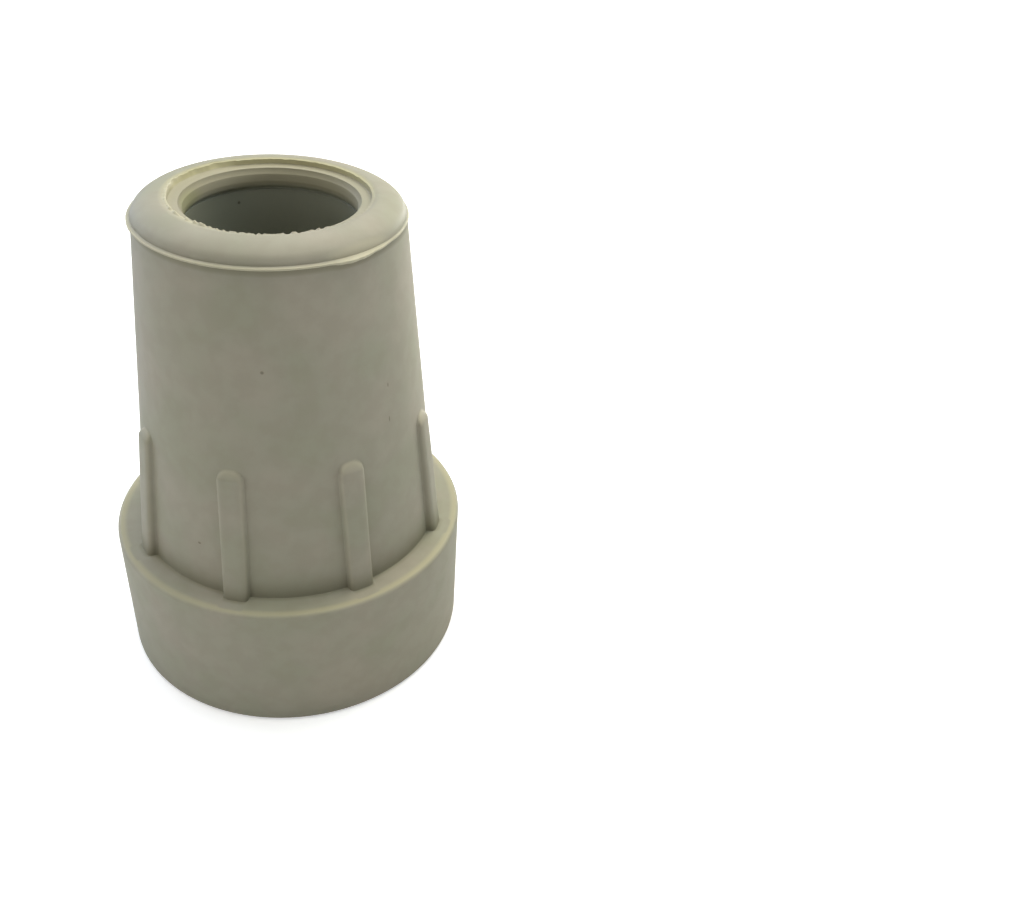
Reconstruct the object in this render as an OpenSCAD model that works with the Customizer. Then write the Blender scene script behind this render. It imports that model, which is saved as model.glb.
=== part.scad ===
// Rubber cane tip: a straight round base with a grooved sole, a tapered
// body, eight short ribs standing on the base's ledge, and a domed lip
// round a blind socket for the cane.
// Millimetres. +Z is up the cane. The origin is on the axis, on the floor.

/* [Base] */
// Outside diameter of the base
base_d = 43; // [34:0.5:60]
// Height of the base, floor to ledge
base_h = 17.5; // [10:0.5:30]
// Rounding of the ledge's outer edge
ledge_round = 0.5; // [0.2:0.1:3]
// Rounding of the foot's outer edge
foot_round = 0.8; // [0.2:0.1:2]

/* [Body] */
// Body diameter where it leaves the ledge
body_foot_d = 36.6; // [28:0.2:40]
// Body diameter at the parting line under the lip
body_top_d = 29; // [26:0.2:32]
// Height of the body, ledge to parting line
body_h = 39.6; // [25:0.2:60]
// Small bevel in the corner between the body and the ledge
body_bevel = 0.3; // [0.1:0.1:2]

/* [Lip] */
// Height of the lip's crest above the parting line
lip_h = 2.1; // [1.6:0.1:4]
// Diameter of the lip's crest
crest_d = 22.6; // [21.6:0.1:24]
// Radius of the broad top of the lip's section
crest_r = 4.3; // [3.5:0.1:6]
// How far the moulding fin stands out at the parting line
fin_out = 0.4; // [0.1:0.02:0.8]
// Thickness of the moulding fin
fin_t = 0.2; // [0.1:0.05:0.8]

/* [Mouth] */
// Diameter of the shallow step inside the lip
step_d = 21.4; // [20.4:0.1:22]
// Depth of the step below the lip's crest
step_depth = 0.75; // [0.3:0.05:1.4]
// Diameter of the collar that grips the cane
collar_d = 18.24; // [17:0.02:19]
// Depth of the collar's lower edge below the lip's crest
collar_depth = 2.9; // [2:0.1:5]
// Rounding of the collar's upper edge
collar_round = 0.9; // [0.1:0.05:1.1]

/* [Socket] */
// Diameter of the socket below the collar
socket_d = 18.76; // [12:0.02:24]
// Solid rubber between the floor and the socket's end
socket_floor = 12; // [6:0.5:20]

/* [Ribs] */
// Number of ribs round the body
rib_count = 8; // [0:1:16]
// Width of a rib
rib_w = 3; // [1.6:0.1:5]
// Height of a rib's top above the ledge
rib_h = 16.9; // [6:0.1:30]
// How far a rib stands off the body at the ledge
rib_out_foot = 1.05; // [0.3:0.05:2]
// How far a rib stands off the body at its top
rib_out_top = 0.7; // [0.2:0.05:2]
// Rounding of a rib's long edges
rib_edge = 0.5; // [0.1:0.05:0.7]
// Radius of the rounding that brings a rib's top down to the body
rib_dome = 1.5; // [0.8:0.1:3]
// Direction of the first rib
rib_start = 22.5; // [0:0.5:45]

/* [Sole] */
// Outside diameter of the outer groove
groove_a_out = 31.2; // [24:0.2:36]
// Inside diameter of the outer groove
groove_a_in = 26; // [20:0.2:32]
// Height of the outer groove's end above the floor
groove_a_top = 3; // [0.5:0.1:5]
// Outside diameter of the inner groove
groove_b_out = 17.6; // [12:0.2:20]
// Inside diameter of the inner groove
groove_b_in = 12.2; // [6:0.2:16]
// Height of the inner groove's end above the floor
groove_b_top = 3.6; // [0.5:0.1:5]
// How far the middle land stands off the floor
mid_land_up = 0.8; // [0:0.05:2]
// How far the centre disc stands off the floor
disc_up = 1.5; // [0:0.05:3]
// Diameter of the gate mark in the middle of the sole
gate_d = 2.8; // [1:0.1:5]
// How far the gate mark stands proud of the centre disc
gate_h = 0.25; // [0.05:0.05:0.6]

/* [Hidden] */
$fn = 128;
eps = 0.01;
// how deep the ribs are rooted in the body and in the base
rib_root = 3;
rib_sunk = 0.5;
// how far the dome is set in, so that it cuts the rib's face at an angle
dome_in = 0.03;
base_r = base_d / 2;
foot_r = body_foot_d / 2;
top_r = body_top_d / 2;
part_z = base_h + body_h;
top_z = part_z + lip_h;
// the ribs lean in with the body, and stand off it less at their tops
rib_lean = atan((foot_r + rib_out_foot - body_r(base_h + rib_h) - rib_out_top)
    / rib_h);
// the lip's small outer arc lies inside the broad arc and touches it
crest_x = crest_d / 2;
crest_z = top_z - crest_r;
edge_r = (pow(crest_r, 2) - pow(top_r - crest_x, 2) - pow(part_z - crest_z, 2))
    / (2 * (crest_r - (top_r - crest_x)));
edge_x = top_r - edge_r;
meet_a = atan2(part_z - crest_z, edge_x - crest_x);
meet_x = crest_x + crest_r * cos(meet_a);

// radius of the body at a height above the floor
function body_r(z) = foot_r - (foot_r - top_r) * (z - base_h) / body_h;

// a quarter of a disc in the direction of the signs
module quarter(r, sx, sy)
    intersection() {
        circle(r = r);
        translate([sx > 0 ? 0 : -r, sy > 0 ? 0 : -r]) square(r);
    }

module base_2d() {
    polygon([[0, 0], [base_r - foot_round, 0],
        [base_r - foot_round, foot_round], [base_r, foot_round],
        [base_r, base_h - ledge_round],
        [base_r - ledge_round, base_h - ledge_round],
        [base_r - ledge_round, base_h], [0, base_h]]);
    translate([base_r - foot_round, foot_round]) quarter(foot_round, 1, -1);
    translate([base_r - ledge_round, base_h - ledge_round])
        quarter(ledge_round, 1, 1);
}

module bevel_2d()
    polygon([[foot_r - 1, base_h - 0.5],
        [foot_r + body_bevel + 0.5, base_h - 0.5],
        [foot_r - 1, base_h + body_bevel + 1]]);

module body_2d()
    polygon([[0, base_h - 1], [body_r(base_h - 1), base_h - 1],
        [top_r, part_z], [0, part_z]]);

module lip_2d() {
    // broad arc, from the mouth out to where the small arc takes over
    intersection() {
        translate([crest_x, crest_z]) circle(r = crest_r);
        translate([collar_d / 2 - 1, part_z - 1])
            square([meet_x - collar_d / 2 + 1, lip_h + 2]);
    }
    // small arc, down to the parting line
    intersection() {
        translate([edge_x, part_z]) circle(r = edge_r);
        translate([meet_x, part_z]) square([edge_r, edge_r]);
    }
}

module fin_2d()
    translate([top_r - 1, part_z - fin_t / 2])
        square([1 + fin_out, fin_t]);

module outside_2d() {
    base_2d();
    body_2d();
    bevel_2d();
    lip_2d();
    fin_2d();
}

// the space inside: step, collar and socket
module mouth_2d() {
    collar_x = collar_d / 2;
    round_z = top_z - step_depth - collar_round;
    translate([0, top_z - step_depth]) square([step_d / 2, step_depth + 1]);
    // the collar's upper edge is rounded
    difference() {
        translate([0, round_z]) square([collar_x + collar_round,
            collar_round + eps]);
        translate([collar_x + collar_round, round_z])
            circle(r = collar_round);
    }
    polygon([[0, round_z + eps], [collar_x, round_z + eps],
        [collar_x, top_z - collar_depth], [socket_d / 2, top_z - collar_depth],
        [socket_d / 2, socket_floor], [0, socket_floor]]);
}

module sole_2d() {
    translate([groove_a_in / 2, -1])
        square([(groove_a_out - groove_a_in) / 2, groove_a_top + 1]);
    translate([groove_b_in / 2, -1])
        square([(groove_b_out - groove_b_in) / 2, groove_b_top + 1]);
    translate([0, -1]) square([groove_a_in / 2 + eps, mid_land_up + 1]);
    translate([0, -1]) square([groove_b_in / 2 + eps, disc_up + 1]);
}

// across a rib, with its outer face at x = 0
module rib_section_2d() {
    deep = rib_root + rib_out_foot;
    flat_w = rib_w - 2 * rib_edge;
    translate([-deep, -rib_w / 2]) square([deep - rib_edge, rib_w]);
    translate([-deep, -flat_w / 2]) square([deep, flat_w]);
    for (side = [-1, 1])
        translate([-rib_edge, side * flat_w / 2])
            quarter(rib_edge, 1, side);
}

// a rib from the front: straight, with a round top
module rib_front_2d() {
    translate([-rib_w / 2, base_h - rib_sunk])
        square([rib_w, rib_h - rib_w / 2 + rib_sunk]);
    translate([0, base_h + rib_h - rib_w / 2]) circle(d = rib_w);
}

// a rib from the side: everything below the dome, and the dome
module rib_side_2d() {
    dome_z = base_h + rib_h - 0.8 * rib_dome;
    dome_r = foot_r + rib_out_foot - (dome_z - base_h) * tan(rib_lean);
    square([foot_r + rib_out_foot + 1, dome_z]);
    translate([dome_r - rib_dome * cos(rib_lean) - dome_in,
        dome_z - rib_dome * sin(rib_lean)]) circle(r = rib_dome);
}

module rib()
    intersection() {
        translate([foot_r + rib_out_foot, 0, base_h])
            rotate([0, -rib_lean, 0]) translate([0, 0, -1])
                linear_extrude(height = rib_h + 3) rib_section_2d();
        translate([foot_r - rib_root - 1, 0, 0]) rotate([90, 0, 90])
            linear_extrude(height = rib_root + rib_out_foot + 2)
                rib_front_2d();
        rotate([90, 0, 0])
            linear_extrude(height = 2 * rib_w, center = true)
                rib_side_2d();
    }

module shell()
    rotate_extrude() difference() {
        outside_2d();
        mouth_2d();
        sole_2d();
    }

module cane_tip()
    color([0.5, 0.49, 0.43]) {
        shell();
        for (i = [0 : rib_count - 1])
            rotate([0, 0, rib_start + i * 360 / rib_count]) rib();
        translate([0, 0, disc_up - gate_h])
            cylinder(d = gate_d, h = gate_h + 1);
    }

cane_tip();
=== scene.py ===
# %% [markdown]
# # A moulded rubber cane tip
#
# A cane tip is one piece of moulded rubber. It has a straight round base, a
# body that tapers up to a domed lip, short ribs that stand on the base's
# ledge, and a blind socket that the cane is pushed into. The CAD model holds
# the true sizes, so it is loaded first. It could be shown as it is, but it
# is as plain as a drawing. So the same shape is turned again here as one fine
# skin, with the marks that moulding leaves: the flash at the parting line,
# the torn edge of the mouth, soft corners, and a faintly cloudy colour.

# %% Load the CAD model
import math

import bmesh
import bpy
from mathutils import Matrix, Vector


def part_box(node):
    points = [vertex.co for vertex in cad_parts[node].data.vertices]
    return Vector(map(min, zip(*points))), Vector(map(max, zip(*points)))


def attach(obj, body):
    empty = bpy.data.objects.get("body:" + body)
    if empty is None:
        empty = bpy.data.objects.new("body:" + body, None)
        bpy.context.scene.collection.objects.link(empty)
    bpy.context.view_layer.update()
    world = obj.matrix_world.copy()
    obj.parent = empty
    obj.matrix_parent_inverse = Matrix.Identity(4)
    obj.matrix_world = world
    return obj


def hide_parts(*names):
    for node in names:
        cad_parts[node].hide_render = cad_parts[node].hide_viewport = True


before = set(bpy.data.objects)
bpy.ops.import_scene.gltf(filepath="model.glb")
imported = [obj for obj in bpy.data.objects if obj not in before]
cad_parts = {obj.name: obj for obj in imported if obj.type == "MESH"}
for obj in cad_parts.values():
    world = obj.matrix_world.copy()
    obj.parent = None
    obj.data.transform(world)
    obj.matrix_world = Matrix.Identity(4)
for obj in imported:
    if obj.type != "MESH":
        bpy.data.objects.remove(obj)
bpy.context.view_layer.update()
LOW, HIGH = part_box("cane_tip")
print("CAD box, mm", [round(c * 1000, 2) for c in (*LOW, *HIGH)])

# %% [markdown]
# ## The sizes
#
# Blender works in metres, so the sizes are written in millimetres and are
# multiplied once, when the points are put in place. The base's radius and the
# overall height are read from the CAD node's box, which keeps this skin on
# the CAD solid. The others are radii from the axis or heights above the
# floor, and each is written once.

# %% Sizes
MM = 0.001
# the base, and the ledge on top of it
BASE_R = (HIGH[0] - LOW[0]) / 2 / MM
BASE_H = 17.5
LEDGE_ROUND = 0.5
FOOT_ROUND = 0.8
# the body, from the ledge up to the fin at the parting line
FOOT_R = 18.3
TOP_R = 14.5
PART_Z = 57.1
FIN_OUT = 0.4
# the lip, the mouth and the socket
TOP_Z = HIGH[2] / MM
CREST_R = 11.3
STEP_R = 10.7
STEP_Z = TOP_Z - 0.75
COLLAR_R = 9.12
COLLAR_Z = TOP_Z - 2.9
SOCKET_R = 9.38
SOCKET_Z = 12.0
# the ribs
RIB_COUNT = 8
RIB_W = 3.0
RIB_TOP = 34.4
RIB_OUT_FOOT = 1.05
RIB_OUT_TOP = 0.7
RIB_START = math.radians(22.5)
print("base radius", round(BASE_R, 2), "height", round(TOP_Z, 2))

# %% [markdown]
# ## The turned section
#
# A lathe works from a section: the outline of half the part, from the axis
# out and back. It could be drawn as a curve with handles, but a list of
# corners is easier to check against a drawing. Each corner has the radius
# that softens it, because moulded rubber has no truly sharp corner, and a
# corner of radius 0.1 mm catches a thin line of light that a sharp one can't.
# One helper turns each corner into a short arc. The other splits the long
# straights, so that there are points for the ribs to push out later.


# %% Soft corners
def arc(centre, size, start, sweep, steps):
    """Points (r, z) along a circle's arc; angles in radians."""
    return [(centre[0] + size * math.cos(start + sweep * k / steps),
             centre[1] + size * math.sin(start + sweep * k / steps))
            for k in range(steps + 1)]


def toward(here, there):
    """Distance from one (r, z) point to another, and the direction."""
    dr, dz = there[0] - here[0], there[1] - here[1]
    length = math.hypot(dr, dz)
    return length, (dr / length, dz / length)


def soften(corners):
    """Corners (r, z, radius, steps) to points (r, z), each corner an arc."""
    points = []
    most = 0.48  # the share of a straight that one arc may use up
    for i, (r, z, radius, steps) in enumerate(corners):
        if i in (0, len(corners) - 1) or radius <= 0:
            points.append((r, z))
            continue
        back, a = toward((r, z), corners[i - 1])
        ahead, b = toward((r, z), corners[i + 1])
        half = math.acos(max(-1, min(1, a[0] * b[0] + a[1] * b[1]))) / 2
        cut = min(radius / math.tan(half), most * back, most * ahead)
        size = cut * math.tan(half)
        # the arc's centre lies on the line that halves the corner
        mid = (a[0] + b[0], a[1] + b[1])
        middle = math.hypot(*mid)
        centre = (r + mid[0] / middle * size / math.sin(half),
                  z + mid[1] / middle * size / math.sin(half))
        t0, t1 = (math.atan2(z + d[1] * cut - centre[1],
                             r + d[0] * cut - centre[0]) for d in (a, b))
        sweep = (t1 - t0 + math.pi) % (2 * math.pi) - math.pi
        points += arc(centre, size, t0, sweep, steps)
    return points


print("a square corner of radius 1 becomes", len(soften(
    [(0, 0, 0, 0), (5, 0, 1, 4), (5, 5, 0, 0)])) - 2, "points")


# %% Shorter straights
def split(points, longest):
    """Adds points so that no stretch is longer than longest(r, z)."""
    out = [points[0]]
    for (r0, z0), (r1, z1) in zip(points, points[1:]):
        length = math.hypot(r1 - r0, z1 - z0)
        n = max(1, math.ceil(length / longest((r0 + r1) / 2, (z0 + z1) / 2)))
        out += [(r0 + (r1 - r0) * k / n, z0 + (z1 - z0) * k / n)
                for k in range(1, n + 1)]
    return out


print("10 mm in steps of at most 3 mm is", len(split(
    [(0, 0), (10, 0)], lambda r, z: 3)) - 1, "stretches")

# %% [markdown]
# ## From the sole to the fin
#
# The outline starts in the middle of the sole, where a small round mark shows
# how the rubber was fed into the mould. Two ring grooves give the sole its
# grip, and each land between them stands a little higher than the one outside
# it. Grooves could be cut later with a Boolean, but in a turned section each
# is only four corners. From there the outline runs up the base, across the
# ledge, up the body, and out over the fin, which is a film of rubber at the
# mould's parting line.

# %% Corners of the sole
GATE_R, GATE_PROUD = 1.4, 0.3
DISC_UP, LAND_UP = 1.5, 0.8
SOLE_EDGE, GROOVE_ROUND = 0.22, 0.35


def groove(inner, outer, top, land_in, land_out):
    """A ring groove's four corners, from the inside out."""
    return [(inner, land_in, SOLE_EDGE, 4), (inner, top, GROOVE_ROUND, 4),
            (outer, top, GROOVE_ROUND, 4), (outer, land_out, SOLE_EDGE, 4)]


sole = [(0, DISC_UP - GATE_PROUD, 0, 0),
        (GATE_R - 0.15, DISC_UP - GATE_PROUD, 0.1, 2),
        (GATE_R, DISC_UP, 0.1, 2),
        *groove(6.1, 8.8, 3.6, DISC_UP, LAND_UP),
        *groove(13.0, 15.6, 3.0, LAND_UP, 0)]
print("sole:", len(sole), "corners")

# %% Corners of the base, body and fin
CORNER = 0.1
# the ribs' round tops lie between these heights, and need close points
CAPS_FROM, CAPS_TO = 32.0, 34.8


def body_r(z):
    """Radius of the tapered body at a height."""
    return FOOT_R - (FOOT_R - TOP_R) * (z - BASE_H) / (PART_Z - BASE_H)


rib_zone = [(body_r(z), z, 0, 0) for z in (CAPS_FROM + 0.2, CAPS_TO, 46)]
under_fin = [(body_r(PART_Z - d), PART_Z - d, 0, 0)
             for d in (1.5, 0.95, 0.6, 0.35)]
outside = [(BASE_R, 0, FOOT_ROUND, 6), (BASE_R, BASE_H, LEDGE_ROUND, 8),
           (FOOT_R, BASE_H, CORNER, 3), *rib_zone, *under_fin,
           (TOP_R, PART_Z - 0.12, 0.04, 2),
           (TOP_R + FIN_OUT, PART_Z - 0.09, 0.05, 3),
           (TOP_R + FIN_OUT, PART_Z + 0.1, 0.06, 3)]
print("body radius under the fin", round(body_r(PART_Z), 2))

# %% [markdown]
# ## The lip, the mouth and the socket
#
# The lip is domed. One large bevel could round it, but would make both sides
# alike. So it is two arcs that meet with the same slope: a broad one on top
# and a small one at the side. Their sizes follow from the crest and from the
# parting line, so the join stays smooth if either moves. Inside the lip the
# outline drops over the torn edge onto a shallow step, rolls over the collar
# that grips the cane, and goes down the plain socket to its floor.

# %% Lip arcs
BROAD_R = 4.3
BROAD_Z = TOP_Z - BROAD_R
SIDE_R = ((BROAD_R ** 2 - (TOP_R - CREST_R) ** 2 - (PART_Z - BROAD_Z) ** 2)
          / (2 * (BROAD_R - (TOP_R - CREST_R))))
SIDE_X = TOP_R - SIDE_R
# the side arc leaves the fin's top, and the broad one stops at the torn edge
LEAVE = 0.16
MEET = math.atan2(PART_Z - BROAD_Z, SIDE_X - CREST_R)
STOP = math.acos((STEP_R + 0.65 - CREST_R) / BROAD_R)
lip_side = arc((SIDE_X, PART_Z), SIDE_R, LEAVE, MEET - LEAVE, 7)
lip_top = arc((CREST_R, BROAD_Z), BROAD_R, MEET, STOP - MEET, 14)[1:]
lip = [(lip_side[0][0], lip_side[0][1] - 0.04, 0.03, 2),
       *((r, z, 0, 0) for r, z in lip_side + lip_top)]
print("lip side arc, mm", round(SIDE_R, 2), "meets at", round(
    math.degrees(MEET), 1), "degrees")

# %% Corners of the mouth and the socket
# a low ridge and a small nick, where the rubber was torn from the core
edge = [(STEP_R + 0.48, TOP_Z - 0.06, 0.15, 3),
        (STEP_R + 0.28, TOP_Z - 0.12, 0.1, 3),
        (STEP_R + 0.12, TOP_Z - 0.09, 0.04, 2),
        (STEP_R, TOP_Z - 0.12, 0.03, 2)]
# the step, and the collar's two small shoulders
collar = [(STEP_R, STEP_Z + 0.05, 0.12, 3), (9.58, STEP_Z + 0.02, 0.05, 3),
          (9.54, STEP_Z - 0.22, 0.03, 2), (9.24, STEP_Z - 0.58, 0.06, 2),
          (9.18, STEP_Z - 0.9, 0.1, 2), (COLLAR_R, STEP_Z - 1.4, 0.8, 4),
          (COLLAR_R + 0.05, STEP_Z - 1.85, 0.5, 3),
          (COLLAR_R + 0.13, COLLAR_Z + 0.04, 0.04, 3)]
# a fine relief under the collar, then the plain bore
RELIEF = 0.12
socket = [(SOCKET_R + RELIEF, COLLAR_Z, 0.06, 3),
          (SOCKET_R + RELIEF, COLLAR_Z - 0.22, 0.06, 3),
          (SOCKET_R, COLLAR_Z - 0.3, 0.06, 3),
          (SOCKET_R, SOCKET_Z, 0.6, 5), (0, SOCKET_Z, 0, 0)]
print("mouth:", len(edge + collar + socket), "corners")

# %% The outline
OUTSIDE_R = 14  # beyond the lip's crest: the outer face, and the base
LEDGE_R, LEDGE_ZONE = 17, 0.9
MOUTH_FROM = 50
TOO_CLOSE = 0.015


def longest(r, z):
    """How far apart the outline's points may be, by place."""
    if r > OUTSIDE_R and BASE_H + LEDGE_ZONE < z < CAPS_FROM:
        return 1.2
    if r > OUTSIDE_R and CAPS_FROM <= z < CAPS_TO:
        return 0.16
    if r > LEDGE_R and abs(z - BASE_H) < LEDGE_ZONE:
        return 0.25
    if r > OUTSIDE_R and z >= CAPS_TO:
        return 2.2
    if z > MOUTH_FROM:
        return 0.5
    return 3.0


outline = split(soften(sole + outside + lip + edge + collar + socket),
                longest)
outline = [p for i, p in enumerate(outline)
           if i == 0 or math.dist(p, outline[i - 1]) > TOO_CLOSE]
COLUMNS = 384
print(len(outline), "points, so about",
      2 * len(outline) * COLUMNS, "triangles")

# %% [markdown]
# ## Numbers carried along the outline
#
# Each point of the outline carries a few numbers that say what may happen to
# it once it is turned: how far a rib pushes it out, how much it belongs to
# the fin or to the torn edge, how closely the columns crowd together there,
# and how much painted highlight, painted shade or pale tint it gets. The node
# tree and the material read them by name. They could work the same things out
# from heights, but then each would need to know the whole section.

# %% Numbers for the ribs and the fin
LEDGE_END = BASE_R - LEDGE_ROUND
RIBS_BELOW = 36.5  # no rib reaches higher than this
SAME = 0.004  # heights closer than this are one height


def ramp(x, x0, x1):
    """0 at x0, 1 at x1, straight in between."""
    return max(0.0, min(1.0, (x - x0) / (x1 - x0)))


def rib_numbers(r, z):
    """How far ribs push a point, and how the columns crowd there."""
    rib = 1.0 if BASE_H + SAME < z < RIBS_BELOW else 0.0
    if abs(z - BASE_H) <= SAME:
        rib = 1 - ramp(r, FOOT_R + 0.7, LEDGE_END)
    return {"rib": rib, "crowd": ramp(z, 5, 15) * (1 - ramp(z, 37, 50))}


def fin_numbers(r, z):
    """The fin, what hangs down under it, and the painted shadow under it."""
    fin = drip = painted_shade = 0.0
    if abs(z - PART_Z) < 0.3:
        fin = ramp(r, TOP_R, TOP_R + FIN_OUT)
        drip = fin * (1 - ramp(z, PART_Z - 0.06, PART_Z + 0.04))
    if z < PART_Z - 0.05 and fin < 0.3:
        if z > PART_Z - 1.5:
            drip = 2.5 * ramp(z, PART_Z - 1.5, PART_Z - 0.4)
        # painted shadow: the body is darkened in a band just under the fin
        if z > PART_Z - 1.2:
            painted_shade = ramp(z, PART_Z - 0.9, PART_Z - 0.5)
    return {"fin": fin, "drip": drip, "painted_shade": painted_shade}


print("half way up a rib:", rib_numbers(body_r(25), 25))


# %% Numbers for the ledge and the mouth
def ledge_numbers(r, z):
    """The painted highlight on the ledge's edge, and the painted shade in its
    corner.
    """
    found = {}
    if BASE_H - 1.2 < z < BASE_H + 0.01:
        # a painted highlight: a slanted band, which meets the skin along its
        # rounded edge
        along = r - z - (BASE_R - BASE_H - 0.55)
        found["painted_ledge_highlight"] = 1 - ramp(abs(along), 0.15, 0.65)
    # painted shade: darker in the corner where the body meets the ledge
    if BASE_H - SAME < z < BASE_H + 6:
        found["painted_shade"] = (1 - ramp(z, BASE_H, BASE_H + 4)) ** 2 * (
            1 - ramp(r, FOOT_R, FOOT_R + 0.5))
    return found


def mouth_numbers(r, z):
    """The torn edge, the lip's inner rim, and the painted shade inside the
    mouth.
    """
    found = {}
    if z > STEP_Z - 0.1 and STEP_R - 0.05 < r < STEP_R + 0.8:
        found["chew"] = ramp(z, STEP_Z, TOP_Z - 0.2) * (
            1 - ramp(r, STEP_R + 0.2, STEP_R + 0.8))
        found["stand"] = ramp(z, STEP_Z + 0.1, TOP_Z - 0.16) * (
            1 - ramp(r, STEP_R + 0.12, STEP_R + 0.42))
    if z > STEP_Z + 0.15 and STEP_R - 0.1 < r < STEP_R + 0.7:
        found["rim"] = 1 - ramp(r, STEP_R + 0.2, STEP_R + 0.7)
    # painted shade: 1 in the mouth and socket, up to 2 in the bore under the
    # collar
    if z > SOCKET_Z - 0.1 and r < STEP_R + 0.15:
        found["inside"] = 1 + ramp(z, COLLAR_Z + 0.6, COLLAR_Z - 0.05)
    return found


print("on the socket's wall:", mouth_numbers(SOCKET_R, 30))

# %% All the numbers of each point
NUMBERS = ["rib", "fin", "drip", "chew", "stand", "crowd", "painted_ledge_highlight", "painted_shade",
           "inside", "rim"]


def numbers_at(r, z):
    """All the named numbers for one point of the outline."""
    found = dict.fromkeys(NUMBERS, 0.0)
    if r > OUTSIDE_R:
        found |= rib_numbers(r, z) | fin_numbers(r, z) | ledge_numbers(r, z)
    return found | mouth_numbers(r, z)


table = [numbers_at(r, z) for r, z in outline]
print({n: sum(1 for t in table if t[n] > 0) for n in NUMBERS})

# %% The outline as an object
line = bpy.data.meshes.new("outline")
line.from_pydata([(r, z, 0) for r, z in outline],
                 [(i, i + 1) for i in range(len(outline) - 1)], [])
carried = {n: [t[n] for t in table] for n in NUMBERS}
carried["radius_mm"] = [r for r, z in outline]
carried["height_mm"] = [z for r, z in outline]
for name, values in carried.items():
    layer = line.attributes.new(name, "FLOAT", "POINT")
    layer.data.foreach_set("value", values)
lathe = bpy.data.objects.new("lathe", line)
bpy.context.scene.collection.objects.link(lathe)
print("outline of", len(line.vertices), "points with", len(carried),
      "numbers each")

# %% [markdown]
# ## Sums in a node tree
#
# A node tree is a picture of a formula. Drawn by hand it is a long row of
# Math nodes, so this small class lets the script write the formula instead:
# every plus or times makes one Math node and links it. The same class serves
# the shape and the material.


# %% Formula helper
class Sum:
    """A number in a node tree, which can be added to and multiplied."""

    def __init__(self, tree, socket):
        self.tree, self.socket = tree, socket

    def into(self, socket):
        """Links this number to a node's input."""
        self.tree.links.new(self.socket, socket)

    def math(self, kind, *others):
        """A Math node with this number as its first input."""
        node = self.tree.nodes.new("ShaderNodeMath")
        node.operation = kind
        for socket, value in zip(node.inputs, (self, *others)):
            fill(socket, value)
        return Sum(self.tree, node.outputs[0])

    def __add__(self, other):
        return self.math("ADD", other)

    def __sub__(self, other):
        return self.math("SUBTRACT", other)

    def __mul__(self, other):
        return self.math("MULTIPLY", other)

    def __truediv__(self, other):
        return self.math("DIVIDE", other)

    def smooth(self, low, high, kind="SMOOTHSTEP"):
        """0 below low, 1 above high, with soft ends."""
        node = self.tree.nodes.new("ShaderNodeMapRange")
        node.interpolation_type = kind
        self.into(node.inputs["Value"])
        fill(node.inputs["From Min"], low)
        fill(node.inputs["From Max"], high)
        return Sum(self.tree, node.outputs["Result"])

    def ramp(self, low, high):
        """0 below low, 1 above high, straight in between."""
        return self.smooth(low, high, "LINEAR")


def fill(socket, value):
    """Links a Sum to a socket, or sets the socket to a plain number."""
    if isinstance(value, Sum):
        value.into(socket)
    else:
        socket.default_value = value


print("formula helper ready")

# %% [markdown]
# ## Turning the section
#
# The Screw modifier and bmesh's spin can both turn an outline. Here the lathe
# is a node tree with Curve to Mesh, because the ribs and the ragged edges can
# then be made in the same step: a circle is the path, the outline is the
# profile, and each point of the result knows its column and the outline's
# numbers. The tree's inputs are the sizes that a maker would ask for.

# %% The lathe tree and its inputs
tree = bpy.data.node_groups.new("turned_rubber", "GeometryNodeTree")
tree.is_modifier = True
face = tree.interface
face.new_socket("Geometry", in_out="INPUT", socket_type="NodeSocketGeometry")
for name, kind, value in (
        ("Columns", "NodeSocketInt", COLUMNS),
        ("Rib Count", "NodeSocketFloat", float(RIB_COUNT)),
        ("First Rib", "NodeSocketFloat", RIB_START),
        ("Rib Width", "NodeSocketFloat", RIB_W),
        ("Rib Foot", "NodeSocketFloat", BASE_H),
        ("Rib Top", "NodeSocketFloat", RIB_TOP),
        ("Cap", "NodeSocketFloat", 1.05),
        ("Out At Foot", "NodeSocketFloat", RIB_OUT_FOOT),
        ("Out At Top", "NodeSocketFloat", RIB_OUT_TOP),
        ("Fin Wave", "NodeSocketFloat", 0.1),
        ("Flap Direction", "NodeSocketFloat", math.radians(-59)),
        ("Flap Out", "NodeSocketFloat", 0.29),
        ("Thin Direction", "NodeSocketFloat", math.radians(-13)),
        ("Chewed Direction", "NodeSocketFloat", math.radians(140)),
        ("Chewed Depth", "NodeSocketFloat", 0.34),
        ("Flash Direction", "NodeSocketFloat", math.radians(195)),
        ("Flash Height", "NodeSocketFloat", 0.13),
        ("Serrated Direction", "NodeSocketFloat", math.radians(-106)),
        ("Serration", "NodeSocketFloat", 0.27),
        ("Seed", "NodeSocketFloat", 3.0)):
    sock = face.new_socket(name, in_out="INPUT", socket_type=kind)
    sock.default_value = value
face.new_socket("Material", in_out="INPUT",
                socket_type="NodeSocketMaterial")
face.new_socket("Geometry", in_out="OUTPUT", socket_type="NodeSocketGeometry")
start = tree.nodes.new("NodeGroupInput")
end = tree.nodes.new("NodeGroupOutput")
print("the lathe has", len(start.outputs) - 1, "inputs")


# %% Reading and storing numbers on the mesh
def given(name):
    """One of the tree's own inputs."""
    return Sum(tree, start.outputs[name])


def noted(name):
    """A number carried from the outline."""
    node = tree.nodes.new("GeometryNodeInputNamedAttribute")
    node.data_type = "FLOAT"
    node.inputs["Name"].default_value = name
    return Sum(tree, node.outputs["Attribute"])


def note(mesh, name, value):
    """Stores a number on every point of the mesh, under a name."""
    node = tree.nodes.new("GeometryNodeStoreNamedAttribute")
    node.data_type, node.domain = "FLOAT", "POINT"
    node.inputs["Name"].default_value = name
    tree.links.new(mesh, node.inputs["Geometry"])
    value.into(node.inputs["Value"])
    return node.outputs["Geometry"]


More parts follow.
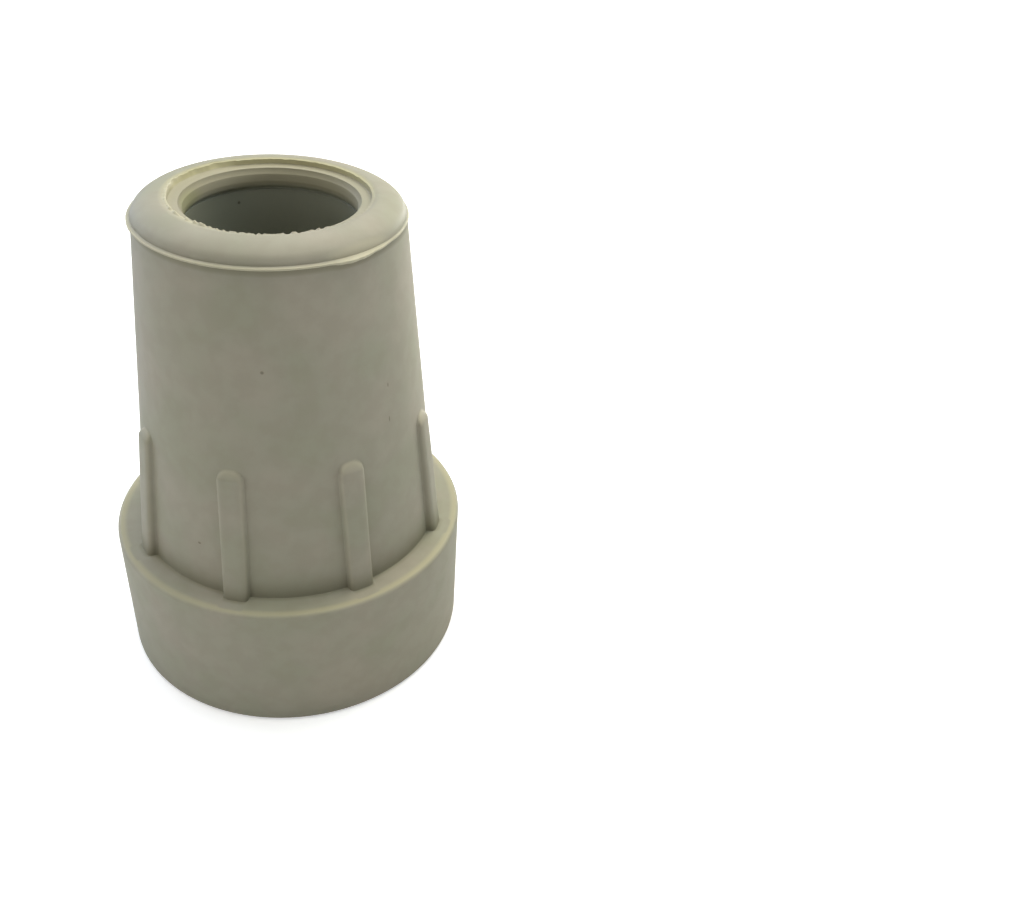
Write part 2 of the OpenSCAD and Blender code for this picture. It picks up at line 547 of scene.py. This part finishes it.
path = tree.nodes.new("GeometryNodeCurvePrimitiveCircle")
tree.links.new(start.outputs["Columns"], path.inputs["Resolution"])
index = tree.nodes.new("GeometryNodeInputIndex")
turn = Sum(tree, index.outputs[0]) * (2 * math.pi) / given("Columns")
profile = tree.nodes.new("GeometryNodeMeshToCurve")
tree.links.new(start.outputs["Geometry"], profile.inputs["Mesh"])
sweep = tree.nodes.new("GeometryNodeCurveToMesh")
tree.links.new(note(path.outputs["Curve"], "turn", turn),
               sweep.inputs["Curve"])
tree.links.new(profile.outputs["Curve"], sweep.inputs["Profile Curve"])
print("one column every", round(360 / COLUMNS, 3), "degrees, for now")

# %% [markdown]
# ## Columns where the ribs are
#
# A rib needs many narrow columns at its flanks and few elsewhere. Twice as
# many columns all round would do it too, but the mesh would grow past what
# the export keeps. So the columns are moved sideways. Of the columns from a
# rib's middle to half way to the next rib, the first part covers the rib's
# flat face, the next its flank, and the rest the gap.

# %% Crowd the columns at the ribs
FACE_SHARE = 5 / 22
FLANK_SHARE = 12 / 22
FACE_HALF = 0.36  # half widths, as shares of the rib's width
FLANK_HALF = 0.54
radius = noted("radius_mm")
height = noted("height_mm")
width = given("Rib Width")
half_pitch = given("Rib Count").math("POWER", -1.0) * math.pi
raw = (noted("turn") - given("First Rib")).math(
    "WRAP", half_pitch, half_pitch * -1)
share = raw.math("ABSOLUTE") / half_pitch
reach = (share.ramp(0.0, FACE_SHARE) * FACE_HALF
         + share.ramp(FACE_SHARE, FLANK_SHARE) * (FLANK_HALF - FACE_HALF)
         ) * width
gap = half_pitch * radius - width * FLANK_HALF
reach = reach + gap * share.ramp(FLANK_SHARE, 1.0)
crowded = reach / radius * raw.math("SIGN")
to_rib = raw + (crowded - raw) * noted("crowd")
angle = noted("turn") + to_rib - raw
print("columns crowd at", RIB_COUNT, "ribs,",
      round(COLUMNS * FLANK_SHARE / RIB_COUNT), "to each")

# %% [markdown]
# ## The ribs
#
# Each rib is a flat bar with rounded edges and a round top. It could be a
# bar of its own, joined by a Boolean, but that leaves a seam where the real
# rubber has none. Here the skin itself is pushed out. The height 1 - u^6
# under a square root has the bar's section, where u is 0 on the rib's middle
# line and 1 at its edge. Past the centre of the round top, the distance up
# counts in u as well. The top is also cut by a slope that looks up, which
# catches the light from above.

# %% Ribs
side = to_rib.math("ABSOLUTE") * radius / (width * 0.5)
half = width * 0.5
over = ((height - given("Rib Top") + half) / half).math("MAXIMUM", 0.0)
away = (side * side + over * over).math("SQRT")
near = ((away.math("POWER", 6.0) * -1 + 1.0).math("MAXIMUM", 0.0)).math("SQRT")
slope = ((given("Rib Top") - height) / given("Cap")).math("MAXIMUM", 0.0).math(
    "SMOOTH_MIN", 1.0, 0.12)
near = near * slope
up = (height - given("Rib Foot")) / (given("Rib Top") - given("Rib Foot"))
out = given("Out At Foot") + (given("Out At Top") - given("Out At Foot")) * up
rib_push = near * out * noted("rib")
# painted highlight: the sloped top and the long edges are painted paler, where
# light falls on them
rib_edge_highlight = away.smooth(0.72, 0.84) * away.smooth(0.98, 0.9)
rib_edge_highlight = rib_edge_highlight * (height - given("Rib Foot")).ramp(0.05, 0.4)
painted_rib_highlight = ((slope * -1 + 1.0) * near.ramp(0.02, 0.3) + rib_edge_highlight * 0.33) * (
    noted("rib"))
print("ribs stand", RIB_OUT_FOOT, "mm off the body at the ledge and",
      RIB_OUT_TOP, "mm at the top")

# %% [markdown]
# ## The fin and the torn edge
#
# The fin is rubber that was squeezed into the mould's parting line, and the
# mouth's inner edge was torn when the core was pulled out. Both are uneven.
# They could be sculpted by hand, but a noise that runs round in a ring, so
# that it meets itself, gives the same result on each run. A few directions
# say where something special is: the fin sticks out in a flap on one side and
# is thin on another, the mouth is chewed at its rear left and has flash
# standing up at its left, and its front edge is serrated.


# %% Noise and directions round the part
STRETCH = 2.6  # a noise of 0 to 1 seldom comes near its ends


def ring_noise(across, seed_shift, detail=2.0):
    """Noise from about -1 to 1 that depends on the angle only."""
    spot = tree.nodes.new("ShaderNodeCombineXYZ")
    (angle.math("COSINE") * across).into(spot.inputs[0])
    (angle.math("SINE") * across).into(spot.inputs[1])
    (given("Seed") + seed_shift).into(spot.inputs[2])
    noise = tree.nodes.new("ShaderNodeTexNoise")
    noise.inputs["Scale"].default_value = 1.0
    noise.inputs["Detail"].default_value = detail
    tree.links.new(spot.outputs[0], noise.inputs["Vector"])
    return (Sum(tree, noise.outputs[0]) - 0.5) * STRETCH


def facing(name, low, high):
    """1 near a given direction and 0 away from it, by the cosine."""
    return (angle - given(name)).math("COSINE").smooth(low, high)


slow = ring_noise(2.2, 0.0, 3.0)
quick = ring_noise(9.0, 4.0)
fine = ring_noise(21.0, 9.0)
lumps = ring_noise(5.0, 13.0)
flap = facing("Flap Direction", 0.982, 0.999)
thin = facing("Thin Direction", 0.83, 0.93)
chewed = facing("Chewed Direction", 0.82, 0.97)
flashed = facing("Flash Direction", 0.6, 0.9)
front = facing("Serrated Direction", 0.35, 0.85)
print("four ring noises, five directions")

# %% Push the fin and the torn edge about
fin_push = noted("fin") * (given("Fin Wave") * (slow * 0.6 + quick * 0.4)
                           + flap * (fine * 0.5 + quick * 0.4 + 1.0)
                           * given("Flap Out")
                           - thin * 0.24)
fin_rise = noted("fin") * (slow * 0.05 + quick * 0.03) - noted("drip") * (
    flap * 0.1 + quick * 0.02)
edge_push = noted("chew") * (
    chewed * (lumps * 1.1 + quick * 0.3 + 0.7) * given("Chewed Depth")
    - flashed * 0.05
    + fine * (front * 0.7 + 0.2) * given("Serration"))
edge_rise = noted("stand") * (
    flashed * (lumps * 0.8 + fine * 0.9 + 0.8) * given("Flash Height")
    + (fine * 1.6 - 0.1) * (front * 0.85 + 0.15) * given("Serration"))
new_radius = radius + rib_push + fin_push + edge_push
new_height = height + fin_rise + edge_rise
flash = noted("fin") + (noted("stand") + noted("chew")) * flashed * 0.5
print("the formulas take", sum(n.bl_idname == "ShaderNodeMath"
                               for n in tree.nodes), "Math nodes")

# %% [markdown]
# ## Putting the points in place
#
# A Displace modifier moves points one way only. Set Position gives each point
# its whole new place, from its angle, radius and height. The points on the
# axis then fall together, and Merge by Distance closes the skin there. The
# pale flash and the ribs' painted highlights are stored for the material.

# %% Put the points in place
WELD = 0.000001
spot = tree.nodes.new("ShaderNodeCombineXYZ")
for i, value in enumerate((new_radius * angle.math("COSINE") * MM,
                           new_radius * angle.math("SINE") * MM,
                           new_height * MM)):
    value.into(spot.inputs[i])
place = tree.nodes.new("GeometryNodeSetPosition")
tree.links.new(sweep.outputs["Mesh"], place.inputs["Geometry"])
tree.links.new(spot.outputs[0], place.inputs["Position"])
close = tree.nodes.new("GeometryNodeMergeByDistance")
close.inputs["Distance"].default_value = WELD
tree.links.new(place.outputs["Geometry"], close.inputs["Geometry"])
tinted = note(close.outputs["Geometry"], "flash", flash)
even = tree.nodes.new("GeometryNodeSetShadeSmooth")
tree.links.new(note(tinted, "painted_rib_highlight", painted_rib_highlight), even.inputs["Geometry"])
real = tree.nodes.new("GeometryNodeRealizeInstances")
tree.links.new(even.outputs["Geometry"], real.inputs["Geometry"])
finish = tree.nodes.new("GeometryNodeSetMaterial")
tree.links.new(real.outputs["Geometry"], finish.inputs["Geometry"])
tree.links.new(start.outputs["Material"], finish.inputs["Material"])
tree.links.new(finish.outputs["Geometry"], end.inputs["Geometry"])
print(len(tree.nodes), "nodes in the lathe tree")

# %% [markdown]
# ## Grey-beige rubber
#
# Moulded rubber is matt but not dead: it has a weak, wide sheen, and its
# colour is a little cloudy, because the filler is never mixed quite evenly.
# A painted picture of it would need unwrapping and would blur close up, so
# the colour is a stack of thin tints, each laid on where a noise or one of
# the skin's numbers says. Some tints are painted shade and painted highlight.
# The tints are written as a screen shows them.

# %% The material and its helpers
rubber = bpy.data.materials.new("grey_rubber")
rubber.use_nodes = True
shade = rubber.node_tree
bsdf = shade.nodes["Principled BSDF"]
where = shade.nodes.new("ShaderNodeTexCoord").outputs["Object"]


def cloud(scale, detail=2.0):
    """Noise on the object's own coordinates, 0 to 1."""
    node = shade.nodes.new("ShaderNodeTexNoise")
    node.inputs["Scale"].default_value = scale
    node.inputs["Detail"].default_value = detail
    shade.links.new(where, node.inputs["Vector"])
    return Sum(shade, node.outputs[0])


def painted(name):
    """A number that the turned skin carries at each point."""
    node = shade.nodes.new("ShaderNodeAttribute")
    node.attribute_name = name
    return Sum(shade, node.outputs["Fac"])


def blend(amount, under, tint):
    """Lays a tint over a colour; each is a colour value or a socket."""
    node = shade.nodes.new("ShaderNodeMix")
    node.data_type = "RGBA"
    amount.into(node.inputs["Factor"])
    for name, colour in (("A", under), ("B", tint)):
        sock = [i for i in node.inputs if i.name == name
                and i.type == "RGBA"][0]
        if isinstance(colour, bpy.types.NodeSocket):
            shade.links.new(colour, sock)
        else:
            sock.default_value = colour
    return [o for o in node.outputs if o.type == "RGBA"][0]


def srgb(r, g, b):
    """A colour as a screen shows it, 0 to 255, to Blender's linear one."""
    return tuple(((c / 255 + 0.055) / 1.055) ** 2.4 if c > 10 else c / 3294
                 for c in (r, g, b)) + (1.0,)


print("a mid grey of 128 is", round(srgb(128, 128, 128)[0], 3), "in Blender")

# %% Tones of the rubber
MAIN_TONE = srgb(161, 157, 139)
GREEN_TONE = srgb(158, 156, 136)
PINK_TONE = srgb(164, 158, 141)
SHADE_TONE = srgb(144, 137, 118)
# painted light and shade: the next three tones are painted shade (corners and
# under the fin, the mouth, the bore), the two after them painted highlights on
# the ledge's edge and the ribs
PAINTED_SHADE_TONE = srgb(134, 131, 110)
MOUTH_SHADE_TONE = srgb(161, 155, 130)
BORE_SHADE_TONE = srgb(144, 145, 130)
LEDGE_HIGHLIGHT_TONE = srgb(181, 175, 143)
RIB_HIGHLIGHT_TONE = srgb(182, 176, 152)
RIM_TONE = srgb(184, 178, 136)
# the flash's own pale tone, also laid on the lip as a painted light
FLASH_AND_LIP_LIGHT_TONE = srgb(193, 187, 160)
MOSS_TONE = srgb(150, 153, 104)
SPECK_TONE = srgb(96, 92, 78)
print("main tone", [round(c, 3) for c in MAIN_TONE[:3]])

# %% Cloudy colour, painted shade and painted highlights
# noise scales are per metre: clouds about 8 mm across, and finer ones
CLOUDS, FINE_CLOUDS = 130, 480
tint = cloud(CLOUDS)
base = blend(tint.smooth(0.38, 0.52), GREEN_TONE, MAIN_TONE)
base = blend(tint.smooth(0.5, 0.66), base, PINK_TONE)
base = blend(cloud(FINE_CLOUDS, 3.0).smooth(0.35, 0.65) * 0.2, base,
             SHADE_TONE)
# painted shade, under the fin and in the ledge's corner
base = blend(painted("painted_shade") * 0.85, base, PAINTED_SHADE_TONE)
# painted shade: the mouth's inside is tinted olive, most at the rear, and the
# bore under the collar darker and cooler; the same rear mask lays on the rim's
# tint
axes = shade.nodes.new("ShaderNodeSeparateXYZ")
shade.links.new(where, axes.inputs[0])
rear = Sum(shade, axes.outputs[1]).smooth(-0.003, 0.006)
base = blend(painted("inside").math("MINIMUM", 1.0) * (rear * 0.6 + 0.4),
             base, MOUTH_SHADE_TONE)
base = blend((painted("inside") - 1.0).math("MAXIMUM", 0.0), base, BORE_SHADE_TONE)
# painted highlight along the ledge's rounded edge
base = blend(painted("painted_ledge_highlight") * 0.7, base, LEDGE_HIGHLIGHT_TONE)
# painted highlight on the ribs' sloped tops and long edges
base = blend(painted("painted_rib_highlight").math("MINIMUM", 1.0) * 0.8, base, RIB_HIGHLIGHT_TONE)
base = blend(painted("rim") * rear * 0.75, base, RIM_TONE)
base = blend(painted("flash").math("MINIMUM", 1.0) * 0.8, base, FLASH_AND_LIP_LIGHT_TONE)
print("the colour so far is a stack of", sum(
    n.bl_idname == "ShaderNodeMix" for n in shade.nodes), "blends")

# %% [markdown]
# ## Specks, a painted light and a greenish place
#
# A few dark specks are dirt that was pressed in. One place on the lip is
# painted paler as painted light, where light falls on its side above the
# flap, and one in the mouth is greenish. All lie flush with the rubber, so
# they are tints and not small shapes of their own. A Mapping node sits at
# each mark, turned to its direction and scaled to its size, and the tint
# fades with the distance from there.


# %% Marks on the skin
def mark(direction, height, wide, tall, r=None, deep=0.6):
    """1 inside a small mark on the skin; degrees and millimetres."""
    if r is None:
        r = body_r(height) if height > BASE_H else BASE_R
    node = shade.nodes.new("ShaderNodeMapping")
    node.vector_type = "TEXTURE"
    a = math.radians(direction)
    node.inputs["Location"].default_value = (
        r * math.cos(a) * MM, r * math.sin(a) * MM, height * MM)
    node.inputs["Rotation"].default_value = (0, 0, a)
    node.inputs["Scale"].default_value = (deep * MM, wide * MM, tall * MM)
    shade.links.new(where, node.inputs["Vector"])
    distance = shade.nodes.new("ShaderNodeVectorMath")
    distance.operation = "LENGTH"
    shade.links.new(node.outputs[0], distance.inputs[0])
    return Sum(shade, distance.outputs["Value"]).smooth(1.4, 0.6)


# specks of dirt: direction in degrees, height, width and length in mm
SPECKS = ((-98.0, 46.1, 0.17, 0.17), (-127.1, 23.5, 0.19, 0.14),
          (-47.1, 37.3, 0.08, 0.34), (-46.3, 41.5, 0.08, 0.25))
for direction, up_at, wide, tall in SPECKS:
    base = blend(mark(direction, up_at, wide, tall) * 0.6, base, SPECK_TONE)
# one more inside the socket
base = blend(mark(112.8, 54.7, 0.17, 0.17, SOCKET_R) * 0.8, base, SPECK_TONE)
# painted light: a paler place on the lip above the flap; and a greenish place
# in the mouth
base = blend(mark(-54, 57.6, 3.6, 0.6, 14.2, 1.5) * 0.5, base, FLASH_AND_LIP_LIGHT_TONE)
base = blend(mark(168, 57.2, 3.6, 1.0, COLLAR_R, 1.5) * 0.45, base, MOSS_TONE)
shade.links.new(base, bsdf.inputs["Base Color"])
# of the two places, the paler one on the lip is painted light
print(len(SPECKS) + 1, "specks and two rubbed places")

# %% [markdown]
# ## Sheen and grain
#
# The mould's steel leaves a very fine unevenness. As real shape it would need
# millions of faces, so it is made as bump. A coarser one under it keeps the
# sheen from looking like plastic, and the roughness varies a little too.

# %% Sheen and grain
SHEEN_CLOUDS, FINE_GRAIN, COARSE_GRAIN = 300, 5200, 900
rough = cloud(SHEEN_CLOUDS) * 0.1 + 0.55
rough.into(bsdf.inputs["Roughness"])
bsdf.inputs["Specular IOR Level"].default_value = 0.35
grain = cloud(FINE_GRAIN) * 0.4 + cloud(COARSE_GRAIN, 3.0) * 0.6
bump = shade.nodes.new("ShaderNodeBump")
bump.inputs["Strength"].default_value = 0.14
bump.inputs["Distance"].default_value = 0.00008
grain.into(bump.inputs["Height"])
shade.links.new(bump.outputs["Normal"], bsdf.inputs["Normal"])
print("rubber uses", len(shade.nodes), "nodes")

# %% [markdown]
# ## Turning the skin
#
# The modifier does the turning. It could stay live, but a plain mesh is what
# gets exported, so its result is kept as one. A moulding is closed all round,
# so the skin must have no open edge. Sweeping can turn a shape inside out, and
# then its volume comes out negative, so the faces are reversed.

# %% Turn the skin
turning = lathe.modifiers.new("turning", "NODES")
turning.node_group = tree
ids = {i.name: i.identifier for i in tree.interface.items_tree
       if i.in_out == "INPUT"}
turning[ids["Columns"]] = COLUMNS
turning[ids["Material"]] = rubber
bpy.context.view_layer.update()
graph = bpy.context.evaluated_depsgraph_get()
skin = bpy.data.meshes.new_from_object(lathe.evaluated_get(graph))
skin.name = "rubber_tip"
tip = bpy.data.objects.new("rubber_tip", skin)
bpy.context.scene.collection.objects.link(tip)
bpy.data.objects.remove(lathe)
print("turned", len(skin.vertices), "points")

# %% Check that it is closed, and hand it to the frame
check = bmesh.new()
check.from_mesh(skin)
volume = check.calc_volume(signed=True)
if volume < 0:
    bmesh.ops.reverse_faces(check, faces=check.faces)
    check.to_mesh(skin)
    volume = check.calc_volume(signed=True)
open_edges = sum(1 for e in check.edges if len(e.link_faces) != 2)
check.free()
triangles = sum(len(f.vertices) - 2 for f in skin.polygons)
print("skin:", triangles, "triangles,", open_edges, "open edges,",
      round(volume * 1e6, 2), "cubic cm")
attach(tip, "root")
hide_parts("cane_tip")

# %% [markdown]
# ## Floor and background
#
# The part stands on a plain white sheet. More lamps would make the sheet
# white, but their light would fall on the rubber too. So the sheet and the
# world get a light of their own that only the camera sees: the rubber keeps
# its tone, and the sheet keeps the part's soft shadow. Near the part that
# light is weaker, so that the shadow shows.

# %% Floor
FLOOR_HALF = 2
floor_mesh = bpy.data.meshes.new("floor")
floor_mesh.from_pydata(
    [(x * FLOOR_HALF, y * FLOOR_HALF, 0)
     for x, y in ((-1, -1), (1, -1), (1, 1), (-1, 1))], [], [(0, 1, 2, 3)])
floor = bpy.data.objects.new("floor", floor_mesh)
bpy.context.scene.collection.objects.link(floor)
pale = bpy.data.materials.new("pale_floor")
pale.use_nodes = True
ground = pale.node_tree
matt = ground.nodes["Principled BSDF"]
matt.inputs["Base Color"].default_value = (0.86, 0.86, 0.86, 1)
matt.inputs["Roughness"].default_value = 0.8
matt.inputs["Emission Color"].default_value = (1, 1, 1, 1)
floor_mesh.materials.append(pale)
print("floor", 2 * FLOOR_HALF, "m across")


# %% Light that only the camera sees
NEAR_GLOW = 0.5
WORLD_DIM = 0.04


def camera_only(node_tree):
    """1 for what the camera sees directly, 0 for all other light."""
    rays = node_tree.nodes.new("ShaderNodeLightPath")
    return Sum(node_tree, rays.outputs["Is Camera Ray"])


from_tip = ground.nodes.new("ShaderNodeVectorMath")
from_tip.operation = "LENGTH"
ground.links.new(ground.nodes.new("ShaderNodeTexCoord").outputs["Object"],
                 from_tip.inputs[0])
further = Sum(ground, from_tip.outputs["Value"]).smooth(0.05, 0.5)
(camera_only(ground) * (further * (1 - NEAR_GLOW) + NEAR_GLOW)).into(
    matt.inputs["Emission Strength"])
world = bpy.data.worlds.new("studio")
bpy.context.scene.world = world
world.use_nodes = True
sky = world.node_tree
air = sky.nodes["Background"]
air.inputs["Color"].default_value = (1, 1, 1, 1)
(camera_only(sky) * (1 - WORLD_DIM) + WORLD_DIM).into(air.inputs["Strength"])
print("white to the camera, dim to the rubber")

# %% [markdown]
# ## Studio light
#
# Most of the light comes from above and from the back right, where it is a
# little warm. It brightens the ledge, the lip's top and the ribs' round tops,
# and leaves the front of the body in a soft half shade. A cooler light
# from the back left draws the pale edge down that side, and weak ones from
# the front open the shade. Two narrow beams light the right side near the
# lip, one from behind and one as a weak bounce. A panorama of a studio could
# light the part as well, but lamps can be moved and dimmed one at a time.

# %% Lamp helpers
LAMP_AWAY = 0.6
BOX_WIDE = 0.4
MIDDLE = 0.03


def hang(name, lamp, direction, rise, height):
    """Hangs a lamp so that it faces a height on the part's axis."""
    ob = bpy.data.objects.new(name, lamp)
    bpy.context.scene.collection.objects.link(ob)
    aim = Vector((0, 0, height))
    a, e = math.radians(direction), math.radians(rise)
    ob.location = aim + Vector((math.cos(a) * math.cos(e),
                                math.sin(a) * math.cos(e),
                                math.sin(e))) * LAMP_AWAY
    ob.rotation_euler = (aim - ob.location).to_track_quat("-Z", "Y").to_euler()


def soft_light(name, direction, rise, watts, colour):
    """A square soft box that faces the part's middle."""
    lamp = bpy.data.lights.new(name, "AREA")
    lamp.shape, lamp.size = "SQUARE", BOX_WIDE
    lamp.energy, lamp.color = watts, colour
    hang(name, lamp, direction, rise, MIDDLE)


def narrow_light(name, direction, rise, watts, colour, height, wide):
    """A round beam that faces one height of the part."""
    lamp = bpy.data.lights.new(name, "SPOT")
    lamp.energy, lamp.color = watts, colour
    lamp.spot_size, lamp.spot_blend = math.radians(wide), 1.0
    lamp.shadow_soft_size = 0.03
    hang(name, lamp, direction, rise, height)


print("lamps hang", LAMP_AWAY, "m from the part")

# %% Lamps
# direction round the axis and rise above the floor in degrees, then watts
SOFT = (("overhead", 0, 90, 1.95, (1.0, 0.99, 0.93)),
        ("key_right", 0, 50, 0.8, (0.85, 1.0, 1.05)),
        ("key_back", 45, 50, 2.0, (1.0, 0.92, 0.74)),
        ("back", 90, 50, 1.0, (0.88, 1.0, 1.15)),
        ("rim_back_left", 135, 18, 1.25, (0.85, 0.97, 1.3)),
        ("rim_left", 180, 18, 0.45, (1.0, 1.0, 0.92)),
        ("fill_left", 225, 18, 0.56, (0.99, 0.99, 1.0)),
        ("fill_right", 315, 18, 0.11, (1.1, 1.0, 1.1)))
NARROW = (("rim_right", 50, 2, 9.0, (1.0, 1.0, 0.98), 0.048, 8),
          ("bounce_right", -15, 8, 3.2, (1.0, 1.0, 1.06), 0.064, 8))
for row in SOFT:
    soft_light(*row)
for row in NARROW:
    narrow_light(*row)
print(len(SOFT), "soft lights and", len(NARROW), "narrow ones")

# %% [markdown]
# ## Camera
#
# The camera looks down into the mouth from close by, a little from one side,
# and is slightly rolled. So near, the part narrows towards its foot, as it
# does for someone who holds it. A Track To constraint could aim the camera,
# but not roll it, so its three directions are worked out from the angles.

# %% Camera
LENS = 34.97
TURN = math.radians(15.63)
DOWN = math.radians(35.01)
ROLL = math.radians(-4.94)
CAMERA_AT = Vector((0, -106.43, 99.94)) * MM
flat = Vector((math.sin(TURN), math.cos(TURN), 0))
ahead = flat * math.cos(DOWN) - Vector((0, 0, math.sin(DOWN)))
up = flat * math.sin(DOWN) + Vector((0, 0, math.cos(DOWN)))
right = ahead.cross(up)
right, up = (right * math.cos(ROLL) - up * math.sin(ROLL),
             right * math.sin(ROLL) + up * math.cos(ROLL))
cam = bpy.data.objects.new("camera", bpy.data.cameras.new("camera"))
bpy.context.scene.collection.objects.link(cam)
cam.data.lens = LENS
cam.data.clip_start = 0.005
pose = Matrix((right, up, -ahead)).transposed().to_4x4()
pose.translation = CAMERA_AT
cam.matrix_world = pose
bpy.context.scene.camera = cam
bpy.context.scene.view_settings.view_transform = "Standard"
print("camera", [round(c / MM, 1) for c in CAMERA_AT])
